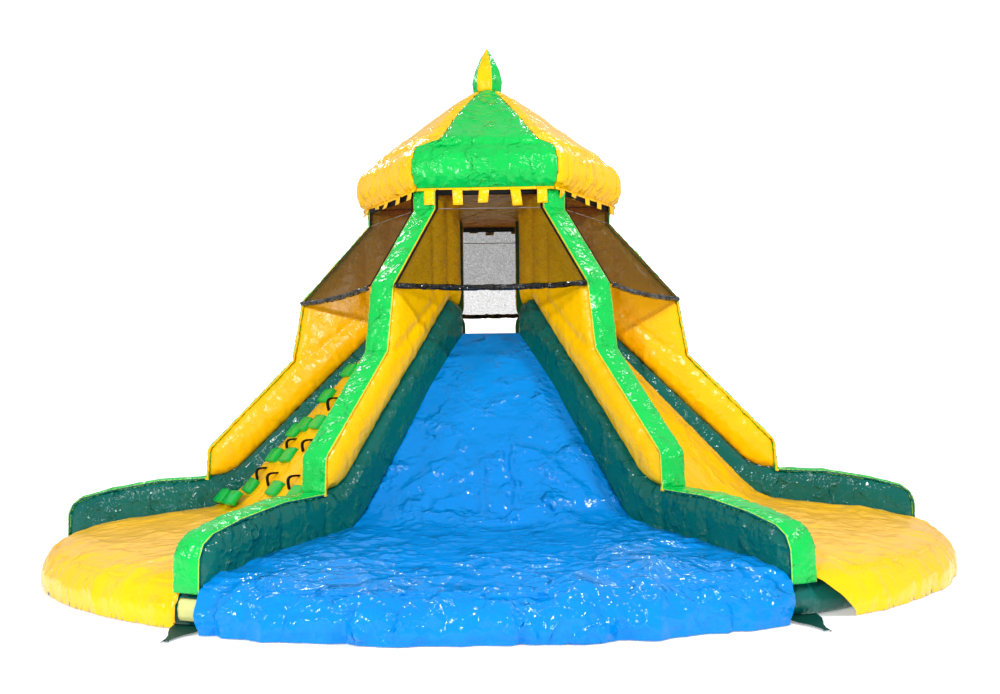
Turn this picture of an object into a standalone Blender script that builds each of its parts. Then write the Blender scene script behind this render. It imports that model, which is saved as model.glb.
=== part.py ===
"""Inflatable hexagonal water slide tower.

Six radial inflated walls stand on a round inflated base. Between them six lanes run down from a
small platform in the middle: five slides and one climbing lane. The walls rise past the platform
as arms that carry a hexagonal roof with a spire, and safety nets close the gaps between the arms.

Units are metres, +Z is up, the origin is on the ground in the middle of the base, and the front
lane faces -Y. A sector or wall at angle A points to (sin A, -cos A).
"""
import math

import bmesh
import bpy
from mathutils import Matrix, Vector

GAP = 0.0003
SECTOR = math.radians(60)

BASE_RADIUS = 4.96
BASE_TOP = 0.30
BASE_ROUNDING = 0.12
BASE_SIDES = 72

# Half plan of a ground-anchor flap, as half width and radius: root, shoulder, tip and strap end.
FLAP_HALF_PLAN = [
    (0.140, 4.80),
    (0.140, 5.13),
    (0.035, 5.34),
    (0.025, 5.50),
]
FLAP_THICKNESS = 0.02

PLATFORM_TOP = 2.60
WALL_INNER = 0.87
ROOF_UNDERSIDE = 4.15

TUBE_HALF = 0.15
PANEL_HALF = 0.125
CAP_HALF = 0.14
CAP_DEPTH = 0.06

# Side profile of a wall, as radius and height: down the arm, out at the net hem, down beside
# the lane, out over the splash area and down its end.
WALL_OUTLINE = [
    (1.433, ROOF_UNDERSIDE - GAP),
    (1.433, 3.942),
    (2.240, 3.038),
    (2.354, 2.350),
    (3.359, 1.320),
    (3.377, 0.975),
    (3.950, 0.950),
    (4.520, 0.850),
    (4.840, 0.765),
    (4.950, 0.690),
    (4.995, 0.580),
    (5.000, 0.460),
    (5.000, BASE_TOP + GAP),
]
ARM_POINTS = 5

# Where the fat side tube is sewn to the panel above it.
TUBE_SEAM = [
    (WALL_INNER, 2.920),
    (1.100, 2.970),
    (3.020, 1.100),
    (3.154, 1.030),
]
TUBE_SEAM_END = 0.990

# Surface of a lane, as distance from the axis and height. The front lane lies deeper between
# its tubes than the others do.
PLATFORM_FLAT = WALL_INNER * math.cos(SECTOR / 2) + TUBE_HALF * math.sin(SECTOR / 2)
LANE_REACH = 5.4
DEEP_LANE = [
    (PLATFORM_FLAT + GAP, PLATFORM_TOP),
    (0.90, PLATFORM_TOP - 0.01),
    (1.05, 2.46),
    (1.456, 2.03),
    (2.27, 1.01),
    (2.50, 0.75),
    (2.70, 0.645),
    (3.60, 0.54),
    (4.40, 0.47),
    (LANE_REACH, 0.42),
]
HIGH_LANE = [
    (PLATFORM_FLAT + GAP, PLATFORM_TOP),
    (1.12, PLATFORM_TOP - 0.01),
    (1.28, 2.50),
    (1.49, 2.29),
    (2.655, 0.865),
    (2.80, 0.72),
    (2.95, 0.65),
    (3.60, 0.55),
    (4.40, 0.47),
    (LANE_REACH, 0.42),
]

# Turned profile that rounds the outer edge of every splash area down to the ground.
APRON_ROUND = [
    (0.0, 3.20),
    (1.60, 3.20),
    (3.30, 0.95),
    (4.08, 0.57),
    (4.60, 0.47),
    (4.87, 0.41),
    (5.03, 0.32),
    (5.11, 0.19),
    (5.12, 0.09),
    (5.09, 0.0),
    (0.0, 0.0),
]

BLOCK_SIZE = (0.26, 0.15, 0.08)
BLOCK_SINK = 0.02
# Rows of climbing blocks: distance from the axis, and their places across the lane.
BLOCK_ROWS = [
    (2.62, (-1.00, -0.34, 0.34, 1.00)),
    (2.36, (-0.95, -0.51, 0.51, 0.95)),
    (2.09, (-0.86, -0.37, 0.37, 0.86)),
    (1.80, (-0.68, 0.0, 0.68)),
    (1.55, (-0.50, 0.50)),
]

NET_THICKNESS = 0.008
NET_LINE = [
    (1.31, ROOF_UNDERSIDE - GAP),
    (1.31, 3.940),
    (2.01, 3.035),
]

ROOF_TWIST = math.radians(-1.8)
ROOF_PROFILE = [
    (0.0, 5.575),
    (0.19, 5.575),
    (0.70, 5.225),
    (1.10, 4.930),
    (1.40, 4.735),
    (1.55, 4.620),
    (1.61, 4.490),
    (1.62, 4.340),
    (1.58, 4.200),
    (1.50, ROOF_UNDERSIDE),
    (0.0, ROOF_UNDERSIDE),
]

SPIRE_TWIST = math.radians(-12)
SPIRE_PROFILE = [
    (0.0, 6.140),
    (0.085, 6.010),
    (0.155, 5.850),
    (0.187, 5.710),
    (0.170, 5.575 + GAP),
    (0.0, 5.575 + GAP),
]

SECTORS = {
    "front": 0,
    "right": 60,
    "back_right": 120,
    "back": 180,
    "back_left": -120,
    "left": -60,
}
WALLS = {
    "front_right": 30,
    "right": 90,
    "back_right": 150,
    "back_left": -150,
    "left": -90,
    "front_left": -30,
}
LANES = {
    "front": ("slide_front", DEEP_LANE, "blue"),
    "right": ("slide_right", HIGH_LANE, "yellow"),
    "back_right": ("slide_back_right", DEEP_LANE, "blue"),
    "back": ("slide_back", HIGH_LANE, "yellow"),
    "back_left": ("slide_back_left", DEEP_LANE, "blue"),
    "left": ("climbing_lane", HIGH_LANE, "yellow"),
}
ROOF_COLOURS = ("green", "yellow")

COLOURS = {
    "teal": (0.004, 0.090, 0.090, 1.0),
    "yellow": (0.95, 0.55, 0.01, 1.0),
    "green": (0.02, 0.60, 0.10, 1.0),
    "blue": (0.01, 0.12, 0.72, 1.0),
    "black": (0.01, 0.01, 0.01, 1.0),
}


def make_materials():
    made = {}
    for name, colour in COLOURS.items():
        material = bpy.data.materials.new("coated_fabric_" + name)
        material.use_nodes = True
        shader = material.node_tree.nodes["Principled BSDF"]
        shader.inputs["Base Color"].default_value = colour
        shader.inputs["Roughness"].default_value = 0.25
        shader.inputs["Metallic"].default_value = 0.0
        made[name] = material
    return made


def place(name, mesh, colour, angle, collection):
    """Link a mesh as one named piece, turned about the tower's axis."""
    if colour:
        mesh.materials.clear()
        mesh.materials.append(materials[colour])
    piece = bpy.data.objects.new(name, mesh)
    piece.rotation_euler.z = angle
    collection.objects.link(piece)
    return piece


def upright_outline(points, half_thickness):
    """Mesh of a flat outline, given as distance and height, standing in the plane x = 0."""
    curve = bpy.data.curves.new("outline", "CURVE")
    curve.dimensions = "2D"
    curve.fill_mode = "BOTH"
    curve.extrude = half_thickness
    spline = curve.splines.new("POLY")
    spline.points.add(len(points) - 1)
    for point, (distance, height) in zip(spline.points, points):
        point.co = (distance, height, 0.0, 1.0)
    spline.use_cyclic_u = True
    drawn = bpy.data.objects.new("outline", curve)
    helpers.objects.link(drawn)
    drawn.rotation_euler = (math.radians(90), 0.0, math.radians(-90))
    bpy.context.view_layer.update()
    mesh = bpy.data.meshes.new_from_object(drawn.evaluated_get(bpy.context.evaluated_depsgraph_get()))
    shape = bmesh.new()
    shape.from_mesh(mesh)
    bmesh.ops.remove_doubles(shape, verts=shape.verts, dist=0.00001)
    bmesh.ops.transform(shape, matrix=drawn.matrix_world, verts=shape.verts)
    bmesh.ops.dissolve_limit(
        shape, angle_limit=0.001, verts=shape.verts, edges=shape.edges, delimit=set())
    bmesh.ops.recalc_face_normals(shape, faces=shape.faces)
    shape.to_mesh(mesh)
    shape.free()
    bpy.data.objects.remove(drawn)
    return mesh


def turned(profile, steps, angle_offset=0.0):
    """Closed mesh of a profile, given as radius and height, turned about the axis."""
    shape = bmesh.new()
    corners = [shape.verts.new((0.0, -radius, height)) for radius, height in profile]
    edges = [shape.edges.new(pair) for pair in zip(corners, corners[1:])]
    bmesh.ops.rotate(
        shape, verts=corners, cent=(0, 0, 0), matrix=Matrix.Rotation(angle_offset, 3, "Z"))
    bmesh.ops.spin(
        shape, geom=corners + edges, cent=(0, 0, 0), axis=(0, 0, 1), angle=math.tau,
        steps=steps, use_merge=True)
    bmesh.ops.remove_doubles(shape, verts=shape.verts, dist=0.00001)
    bmesh.ops.recalc_face_normals(shape, faces=shape.faces)
    mesh = bpy.data.meshes.new("turned")
    shape.to_mesh(mesh)
    shape.free()
    return mesh


def trim_to_sector(mesh, clearance):
    """Keep what lies between two walls at 30 degrees either side, less a clearance to each."""
    shape = bmesh.new()
    shape.from_mesh(mesh)
    for side in (-1, 1):
        normal = Vector((side * math.cos(SECTOR / 2), math.sin(SECTOR / 2), 0.0))
        cut = bmesh.ops.bisect_plane(
            shape, geom=shape.verts[:] + shape.edges[:] + shape.faces[:], dist=0.000001,
            plane_co=normal * -clearance, plane_no=normal, clear_outer=True)
        rim = [edge for edge in cut["geom_cut"] if isinstance(edge, bmesh.types.BMEdge)]
        bmesh.ops.edgenet_fill(shape, edges=rim)
    bmesh.ops.recalc_face_normals(shape, faces=shape.faces)
    shape.to_mesh(mesh)
    shape.free()


def bevel_all(piece, width, segments):
    modifier = piece.modifiers.new("rounded", "BEVEL")
    modifier.width = width
    modifier.segments = segments
    modifier.limit_method = "ANGLE"
    modifier.angle_limit = math.radians(32)


def bevel_sides(piece, width, segments):
    """Round only the edges of a plate's two side faces, so that its outline stays as drawn."""
    mesh = piece.data
    if "bevel_weight_edge" not in mesh.attributes:
        weights = mesh.attributes.new("bevel_weight_edge", "FLOAT", "EDGE")
        for edge in mesh.edges:
            ends = [mesh.vertices[index].co.x for index in edge.vertices]
            weights.data[edge.index].value = float(abs(ends[0] - ends[1]) < GAP)
    modifier = piece.modifiers.new("rounded", "BEVEL")
    modifier.width = width
    modifier.segments = segments
    modifier.limit_method = "WEIGHT"


def combine(piece, operation, other):
    modifier = piece.modifiers.new(operation.lower(), "BOOLEAN")
    modifier.operation = operation
    modifier.solver = "EXACT"
    modifier.object = other


def guide(name, mesh, angle=0.0):
    """A hidden shape that only cuts or joins other pieces."""
    piece = place(name, mesh, None, angle, helpers)
    piece.hide_render = True
    piece.display_type = "WIRE"
    return piece


def offset_path(points, depth):
    """A path beside another one, a fixed depth to its right."""
    lines = []
    for (x0, z0), (x1, z1) in zip(points, points[1:]):
        along = Vector((x1 - x0, z1 - z0)).normalized()
        beside = Vector((along.y, -along.x)) * depth
        lines.append((Vector((x0, z0)) + beside, along))
    moved = [lines[0][0]]
    for (start, along), (other_start, other_along) in zip(lines, lines[1:]):
        gap = other_start - start
        reach = gap.cross(other_along) / along.cross(other_along)
        moved.append(start + along * reach)
    last_start, last_along = lines[-1]
    length = (Vector(points[-1]) - Vector(points[-2])).length
    moved.append(last_start + last_along * length)
    return [(point.x, point.y) for point in moved]


def radius_at(low, high, height):
    """Where a nearly upright edge passes a given height."""
    share = (height - low[1]) / (high[1] - low[1])
    return low[0] + (high[0] - low[0]) * share


def slope_frame(lane, distance):
    """Height and steepness of a lane's surface at a distance from the axis."""
    for (near, top), (far, bottom) in zip(lane, lane[1:]):
        if near <= distance <= far:
            share = (distance - near) / (far - near)
            return top + (bottom - top) * share, math.atan2(top - bottom, far - near)
    raise ValueError("distance beyond the lane")


def make_base():
    """Round inflated floor with a rounded edge and a ground-anchor flap below each wall end."""
    bpy.ops.mesh.primitive_cylinder_add(
        vertices=BASE_SIDES, radius=BASE_RADIUS, depth=BASE_TOP, location=(0, 0, BASE_TOP / 2))
    base = bpy.context.object
    base.name = "base"
    for old in list(base.users_collection):
        old.objects.unlink(base)
    tower.objects.link(base)
    base.data.materials.append(materials["teal"])
    bevel_all(base, BASE_ROUNDING, 3)
    right_side = [(half, -radius) for half, radius in FLAP_HALF_PLAN]
    left_side = [(-half, -radius) for half, radius in FLAP_HALF_PLAN[::-1]]
    flap_plan = right_side + left_side
    shape = bmesh.new()
    for degrees in WALLS.values():
        corners = [shape.verts.new((x, y, 0.0)) for x, y in flap_plan]
        face = shape.faces.new(corners)
        raised = bmesh.ops.extrude_face_region(shape, geom=[face])["geom"]
        top = [item for item in raised if isinstance(item, bmesh.types.BMVert)]
        bmesh.ops.translate(shape, verts=top, vec=(0, 0, FLAP_THICKNESS))
        bmesh.ops.rotate(
            shape, verts=corners + top, cent=(0, 0, 0),
            matrix=Matrix.Rotation(math.radians(degrees), 3, "Z"))
    bmesh.ops.recalc_face_normals(shape, faces=shape.faces)
    mesh = bpy.data.meshes.new("anchor_flaps")
    shape.to_mesh(mesh)
    shape.free()
    combine(base, "UNION", guide("anchor_flaps", mesh))


def make_platform():
    """Column of the middle: its flats meet the lanes and its cut corners the walls' inner ends."""
    shape = bmesh.new()
    corners = []
    for degrees in sorted(WALLS.values()):
        angle = math.radians(degrees)
        out = Vector((math.sin(angle), -math.cos(angle), 0.0))
        across = Vector((math.cos(angle), math.sin(angle), 0.0))
        for side in (-1, 1):
            spot = out * (WALL_INNER - GAP) + across * side * TUBE_HALF
            spot.z = BASE_TOP + GAP
            corners.append(shape.verts.new(spot))
    face = shape.faces.new(corners)
    raised = bmesh.ops.extrude_face_region(shape, geom=[face])["geom"]
    top = [item for item in raised if isinstance(item, bmesh.types.BMVert)]
    bmesh.ops.translate(shape, verts=top, vec=(0, 0, PLATFORM_TOP - BASE_TOP - GAP))
    bmesh.ops.recalc_face_normals(shape, faces=shape.faces)
    mesh = bpy.data.meshes.new("platform")
    shape.to_mesh(mesh)
    shape.free()
    place("platform", mesh, "yellow", 0.0, tower)


def make_walls():
    """Three pieces a wall: the fat tube beside the lane, the panel over it, the green edge."""
    cap_inner = offset_path(WALL_OUTLINE, CAP_DEPTH)
    core = offset_path(WALL_OUTLINE, CAP_DEPTH + GAP)
    seam_end = (radius_at(core[ARM_POINTS], core[ARM_POINTS - 1], TUBE_SEAM_END), TUBE_SEAM_END)
    seam = TUBE_SEAM + [seam_end]
    panel = [(WALL_INNER, ROOF_UNDERSIDE - GAP)] + seam + core[ARM_POINTS - 1::-1]
    lowered = [(radius, height - 2 * GAP) for radius, height in seam]
    tube = lowered + core[ARM_POINTS:] + [(WALL_INNER, BASE_TOP + GAP)]
    cap = WALL_OUTLINE + cap_inner[::-1]
    shapes = {
        "tube": (upright_outline(tube, TUBE_HALF), "teal", 0.06, 2),
        "panel": (upright_outline(panel, PANEL_HALF), "yellow", 0.045, 2),
        "cap": (upright_outline(cap, CAP_HALF), "green", 0.02, 1),
    }
    for wall, degrees in WALLS.items():
        for kind, (mesh, colour, width, segments) in shapes.items():
            piece = place(f"{kind}_{wall}", mesh, colour, math.radians(degrees), tower)
            bevel_sides(piece, width, segments)


def make_climbing_blocks():
    """Foam blocks welded on the climbing lane, sunk a little into its surface."""
    shape = bmesh.new()
    across, along, high = BLOCK_SIZE
    for distance, places in BLOCK_ROWS:
        height, slope = slope_frame(HIGH_LANE, distance)
        tilt = Matrix.Rotation(slope, 4, "X")
        for x in places:
            seat = Matrix.Translation((x, -distance, height))
            lift = Matrix.Translation((0, 0, high / 2 - BLOCK_SINK))
            size = Matrix.Diagonal((across, along, high, 1.0))
            bmesh.ops.create_cube(shape, size=1.0, matrix=seat @ tilt @ lift @ size)
    mesh = bpy.data.meshes.new("climbing_blocks")
    shape.to_mesh(mesh)
    shape.free()
    return guide("climbing_blocks", mesh, math.radians(SECTORS["left"]))


def make_lanes():
    """Lanes with their splash areas, cut to the walls, the base and a rounded outer edge."""
    clearance = TUBE_HALF + GAP
    core = bpy.data.meshes.new("base_room")
    shape = bmesh.new()
    bmesh.ops.create_cone(
        shape, cap_ends=True, segments=BASE_SIDES, radius1=BASE_RADIUS + GAP,
        radius2=BASE_RADIUS + GAP, depth=2 * (BASE_TOP + GAP))
    shape.to_mesh(core)
    shape.free()
    base_room = guide("base_room", core)
    edge = guide("apron_round", turned(APRON_ROUND, BASE_SIDES))
    for sector, (name, surface, colour) in LANES.items():
        outline = surface + [(LANE_REACH, 0.0), (PLATFORM_FLAT + GAP, 0.0)]
        mesh = upright_outline(outline, LANE_REACH)
        trim_to_sector(mesh, clearance)
        lane = place(name, mesh, colour, math.radians(SECTORS[sector]), tower)
        combine(lane, "INTERSECT", edge)
        combine(lane, "DIFFERENCE", base_room)
        if name == "climbing_lane":
            combine(lane, "UNION", make_climbing_blocks())


def make_nets():
    """Mesh netting between neighbouring arms: upright under the roof, then sloping out."""
    inner = offset_path(NET_LINE, NET_THICKNESS)
    for sector, degrees in SECTORS.items():
        mesh = upright_outline(NET_LINE + inner[::-1], LANE_REACH / 2)
        trim_to_sector(mesh, CAP_HALF + GAP)
        place("net_" + sector, mesh, "black", math.radians(degrees), tower)


def make_roof():
    """Six wedge-shaped roof cushions, green and yellow in turn, and the spire on top."""
    for index, (sector, degrees) in enumerate(SECTORS.items()):
        mesh = turned(ROOF_PROFILE, 6, SECTOR / 2)
        trim_to_sector(mesh, GAP / 2)
        colour = ROOF_COLOURS[index % 2]
        place("roof_" + sector, mesh, colour, math.radians(degrees) + ROOF_TWIST, tower)
    place("spire", turned(SPIRE_PROFILE, 6, SECTOR / 2), "yellow", SPIRE_TWIST, tower)


for old in list(bpy.data.objects):
    bpy.data.objects.remove(old)
tower = bpy.data.collections.new("water_slide_tower")
helpers = bpy.data.collections.new("cutters")
bpy.context.scene.collection.children.link(tower)
bpy.context.scene.collection.children.link(helpers)
materials = make_materials()

make_base()
make_platform()
make_walls()
make_lanes()
make_nets()
make_roof()
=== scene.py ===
import math

import bmesh
import bpy
from mathutils import Matrix, Vector, noise


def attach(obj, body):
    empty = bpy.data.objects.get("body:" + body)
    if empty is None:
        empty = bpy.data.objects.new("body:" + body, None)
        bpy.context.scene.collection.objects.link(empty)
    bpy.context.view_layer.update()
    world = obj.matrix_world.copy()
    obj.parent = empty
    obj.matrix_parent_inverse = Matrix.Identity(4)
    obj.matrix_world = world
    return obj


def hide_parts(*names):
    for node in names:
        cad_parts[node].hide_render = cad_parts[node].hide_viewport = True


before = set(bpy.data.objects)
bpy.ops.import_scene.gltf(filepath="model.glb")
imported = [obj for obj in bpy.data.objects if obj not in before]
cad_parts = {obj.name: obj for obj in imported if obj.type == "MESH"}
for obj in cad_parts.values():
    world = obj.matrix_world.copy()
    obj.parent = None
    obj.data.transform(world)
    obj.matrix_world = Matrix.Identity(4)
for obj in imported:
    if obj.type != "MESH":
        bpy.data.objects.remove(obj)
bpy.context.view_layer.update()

# Camera. A person stands about 13.5 m in front of the tower, a little over eye height, and holds
# the camera nearly level, with its right side a touch low.
LENS_MM = 40.4
SENSOR_MM = 36.0
EYE = Vector((-0.046, -13.493, 1.763))
LOOK_SIDE = math.radians(-0.66)
LOOK_UP = math.radians(93.06)
LEAN = math.radians(-0.84)

camera = bpy.data.objects.new("camera", bpy.data.cameras.new("camera"))
camera.data.lens = LENS_MM
camera.data.sensor_width = SENSOR_MM
camera.matrix_world = (
    Matrix.Translation(EYE)
    @ Matrix.Rotation(LOOK_SIDE, 4, "Z")
    @ Matrix.Rotation(LOOK_UP, 4, "X")
    @ Matrix.Rotation(LEAN, 4, "Z")
)
bpy.context.scene.collection.objects.link(camera)
bpy.context.scene.camera = camera

# Base. The tower stands on one round inflated floor of dark teal PVC-coated polyester, about as
# thick as a mattress. A welt runs round its edge, and a webbing flap with a steel ring for a ground
# peg is sewn on below each wall.
BASE_RADIUS = 4.96
BASE_TOP = 0.30
BASE_EDGE = 0.13
BASE_STEPS = 288
WELT_HEIGHT = 0.075
WALL_ANGLES = {
    "front_right": 30,
    "right": 90,
    "back_right": 150,
    "back_left": -150,
    "left": -90,
    "front_left": -30,
}
FLAP_LEANS = {"front_right": -23, "front_left": 23, "left": -50}
RING_RADIUS = 0.030
RING_WIRE = 0.005
TEAL = "#005F58"
STEEL = "#B9BCBE"


def linear(shade):
    """An sRGB hex colour as linear red, green, blue and alpha."""
    parts = [int(shade[k:k + 2], 16) / 255 for k in (1, 3, 5)]
    return [p / 12.92 if p < 0.04045 else ((p + 0.055) / 1.055) ** 2.4 for p in parts] + [1.0]


def add_node(material, kind, settings=None, inputs=None, links=None):
    """Adds one node: its settings, its sockets' values, and what is linked into it."""
    tree = material.node_tree
    node = tree.nodes.new(kind)
    for key, value in (settings or {}).items():
        setattr(node, key, value)
    for key, value in (inputs or {}).items():
        node.inputs[key].default_value = value
    for key, source in (links or {}).items():
        tree.links.new(source, node.inputs[key])
    return node


def coated_fabric(name, shade, roughness=0.26, crinkle=1.0, stretch=None):
    """PVC-coated polyester, calendered to a gloss: a soft plastic film over a fine weave. The eye
    sees a saturated colour under a clear shine that breaks up over small crinkles. With stretch,
    the crinkles follow the cloth's own cut and are drawn out along it."""
    material = bpy.data.materials.new(name)
    material.use_nodes = True
    shader = material.node_tree.nodes["Principled BSDF"]
    shader.inputs["Roughness"].default_value = roughness
    shader.inputs["Specular IOR Level"].default_value = 0.28
    if stretch:
        cut = add_node(material, "ShaderNodeAttribute", {"attribute_name": "cut"})
        place = add_node(
            material, "ShaderNodeMapping", {}, {"Scale": stretch}, {"Vector": cut.outputs["Vector"]}
        ).outputs[0]
    else:
        place = add_node(material, "ShaderNodeTexCoord").outputs["Object"]
    # Large soft patches, where the coating is a little worn or dusty.
    patches = add_node(
        material, "ShaderNodeTexNoise", {}, {"Scale": 1.4, "Detail": 4.0}, {"Vector": place}
    )
    tint = add_node(
        material, "ShaderNodeMapRange", {},
        {"From Min": 0.3, "From Max": 0.7, "To Min": 0.92, "To Max": 1.05},
        {"Value": patches.outputs["Fac"]},
    )
    base = linear(shade)
    colour = add_node(
        material, "ShaderNodeVectorMath", {"operation": "SCALE"}, {0: base[:3]},
        {"Scale": tint.outputs[0]},
    )
    material.node_tree.links.new(colour.outputs[0], shader.inputs["Base Color"])
    # Crumpled film: flat hollows that meet in sharp crests, 15, 6 and 3 cm apart, with calm
    # places between crumpled ones.
    bend = add_node(
        material, "ShaderNodeTexNoise", {}, {"Scale": 4.0, "Detail": 3.0}, {"Vector": place}
    )
    bent = add_node(
        material, "ShaderNodeVectorMath", {"operation": "MULTIPLY_ADD"}, {1: (0.28, 0.28, 0.28)},
        {0: bend.outputs["Color"], 2: place},
    )
    calm = add_node(
        material, "ShaderNodeMapRange", {},
        {"From Min": 0.42, "From Max": 0.60, "To Min": 0.25, "To Max": 1.0},
        {"Value": bend.outputs["Fac"]},
    )
    normal = None
    for fold, slope in ((0.15, 0.20), (0.06, 0.15), (0.03, 0.08)):
        cells = add_node(
            material, "ShaderNodeTexVoronoi", {}, {"Scale": 1 / fold}, {"Vector": bent.outputs[0]}
        )
        hollow = add_node(
            material, "ShaderNodeMath", {"operation": "POWER"}, {1: 2.0},
            {0: cells.outputs["Distance"]},
        )
        rise = add_node(
            material, "ShaderNodeMath", {"operation": "MULTIPLY"}, {},
            {0: hollow.outputs[0], 1: calm.outputs[0]},
        )
        links = {"Height": rise.outputs[0]}
        if normal:
            links["Normal"] = normal
        normal = add_node(
            material, "ShaderNodeBump", {}, {"Strength": 1.0, "Distance": fold * slope * crinkle},
            links,
        ).outputs[0]
    material.node_tree.links.new(normal, shader.inputs["Normal"])
    return material


def plain_metal(name, shade, roughness):
    """Galvanised steel wire, drawn and dipped: grey, a little rough."""
    material = bpy.data.materials.new(name)
    material.use_nodes = True
    shader = material.node_tree.nodes["Principled BSDF"]
    shader.inputs["Metallic"].default_value = 1.0
    place = add_node(material, "ShaderNodeTexCoord")
    spangle = add_node(
        material, "ShaderNodeTexNoise", {}, {"Scale": 90.0}, {"Vector": place.outputs["Object"]}
    )
    dull = add_node(
        material, "ShaderNodeMapRange", {}, {"To Min": roughness - 0.1, "To Max": roughness + 0.1},
        {"Value": spangle.outputs["Fac"]},
    )
    shader.inputs["Base Color"].default_value = linear(shade)
    material.node_tree.links.new(dull.outputs[0], shader.inputs["Roughness"])
    return material


def piece(name, shape, materials, nodes=()):
    """Makes a finished, smoothly shaded piece that rides on the tower and stands for its nodes."""
    mesh = bpy.data.meshes.new(name)
    shape.to_mesh(mesh)
    shape.free()
    mesh.shade_smooth()
    for material in materials:
        mesh.materials.append(material)
    obj = bpy.data.objects.new(name, mesh)
    bpy.context.scene.collection.objects.link(obj)
    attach(obj, "root")
    if nodes:
        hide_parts(*nodes)
    return obj


def turn(shape, degrees):
    """Turns a shape about the tower's axis, from the front to its own wall or lane."""
    matrix = Matrix.Rotation(math.radians(degrees), 3, "Z")
    bmesh.ops.rotate(shape, verts=shape.verts, cent=(0, 0, 0), matrix=matrix)
    return shape


def crease(point, size):
    """How far a point is up the crests of a crumpled film with folds about that size: 0 to 1.
    Hollows meet in sharp crests, and calm places lie between crumpled ones."""
    bent = point / size
    bent = bent + 0.45 * noise.noise_vector(bent * 0.6)
    calm = max(0.15, min(1.0, 0.6 + 1.4 * noise.noise(bent * 0.4 + Vector((1.7, 9.2, 4.4)))))
    wide = noise.voronoi(bent)[0][0] ** 2
    small = noise.voronoi(bent * 2.4 + Vector((7.1, 3.3, 5.7)))[0][0] ** 2
    return calm * (wide + 0.35 * small)


def crumple(shape, size, height, share=lambda point: 1.0, stretch=(1.0, 1.0, 1.0), shift=0.0):
    """Moves a surface out along its normals into folds about that size and height. share says
    how much of the height each point gets."""
    shape.normal_update()
    away = Vector((shift, -shift, 0.5 * shift))
    moves = []
    for vert in shape.verts:
        part = share(vert.co)
        if part:
            point = Vector(a * b for a, b in zip(vert.co + away, stretch))
            moves.append((vert, vert.normal * height * part * (crease(point, size) - 0.2)))
    for vert, move in moves:
        vert.co += move
    return shape


base_teal = coated_fabric("coated_fabric_base_teal", TEAL, 0.24, 0.5)
base = bmesh.new()
edge = [Vector((0.0, 0.0, 0.0)), Vector((2.5, 0.0, 0.0)), Vector((4.5, 0.0, 0.0))]
for k in range(15):
    a = math.pi * (k / 14 - 0.5)
    edge.append(Vector((
        BASE_RADIUS - BASE_EDGE * (1 - math.cos(a)),
        0.0,
        BASE_TOP / 2 + BASE_TOP / 2 * math.sin(a),
    )))
edge += [Vector((r, 0.0, BASE_TOP)) for r in (4.5, 4.0, 3.0, 1.5, 0.0)]
points = [base.verts.new(p) for p in edge]
chain = [base.edges.new(pair) for pair in zip(points, points[1:])]
bmesh.ops.spin(
    base, geom=points + chain, cent=(0, 0, 0), axis=(0, 0, 1), angle=math.tau, steps=BASE_STEPS,
    use_merge=True,
)
bmesh.ops.remove_doubles(base, verts=base.verts, dist=0.0005)
bmesh.ops.recalc_face_normals(base, faces=base.faces)
for vert in base.verts:
    if vert.co.xy.length > BASE_RADIUS - BASE_EDGE:
        vert.co.z += 0.004 * math.exp(-((vert.co.z - WELT_HEIGHT) / 0.012) ** 2)
crumple(
    base, 0.11, 0.014,
    lambda p: 1.0 if p.xy.length > 4.6 and p.z > 0.02 else 0.0, (1.0, 1.0, 0.6),
)
base_piece = piece("base_floor", base, [base_teal], ["base"])


def webbing(name, shade, roughness=0.55):
    """Woven polyester webbing, dyed: matt, with a rib across it about every 2 mm, drawn here at
    6 mm so that it shows."""
    material = bpy.data.materials.new(name)
    material.use_nodes = True
    shader = material.node_tree.nodes["Principled BSDF"]
    shader.inputs["Base Color"].default_value = linear(shade)
    shader.inputs["Roughness"].default_value = roughness
    shader.inputs["Specular IOR Level"].default_value = 0.1
    place = add_node(material, "ShaderNodeTexCoord")
    ribs = add_node(
        material, "ShaderNodeTexWave", {"bands_direction": "DIAGONAL"},
        {"Scale": 50.0, "Distortion": 1.0}, {"Vector": place.outputs["Object"]},
    )
    bump = add_node(
        material, "ShaderNodeBump", {}, {"Strength": 0.5, "Distance": 0.002},
        {"Height": ribs.outputs["Fac"]},
    )
    material.node_tree.links.new(bump.outputs[0], shader.inputs["Normal"])
    return material


def ribbon(path, across, thick=0.0, cuts=0):
    """A band of fabric: a chain of points, swept across by a vector and given a thickness."""
    shape = bmesh.new()
    points = [shape.verts.new(p) for p in path]
    chain = [shape.edges.new(pair) for pair in zip(points, points[1:])]
    swept = bmesh.ops.extrude_edge_only(shape, edges=chain)["geom"]
    moved = [g for g in swept if isinstance(g, bmesh.types.BMVert)]
    bmesh.ops.translate(shape, verts=moved, vec=across)
    if cuts:
        rungs = [e for e in shape.edges if len({v in moved for v in e.verts}) == 2]
        bmesh.ops.subdivide_edges(shape, edges=rungs, cuts=cuts, use_grid_fill=True)
    if thick:
        bmesh.ops.solidify(shape, geom=shape.faces[:], thickness=thick)
        bmesh.ops.recalc_face_normals(shape, faces=shape.faces)
    return shape


def joined(shapes):
    """Several shapes as one."""
    whole = bmesh.new()
    for shape in shapes:
        mesh = bpy.data.meshes.new("scratch")
        shape.to_mesh(mesh)
        shape.free()
        whole.from_mesh(mesh)
        bpy.data.meshes.remove(mesh)
    return whole


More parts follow.
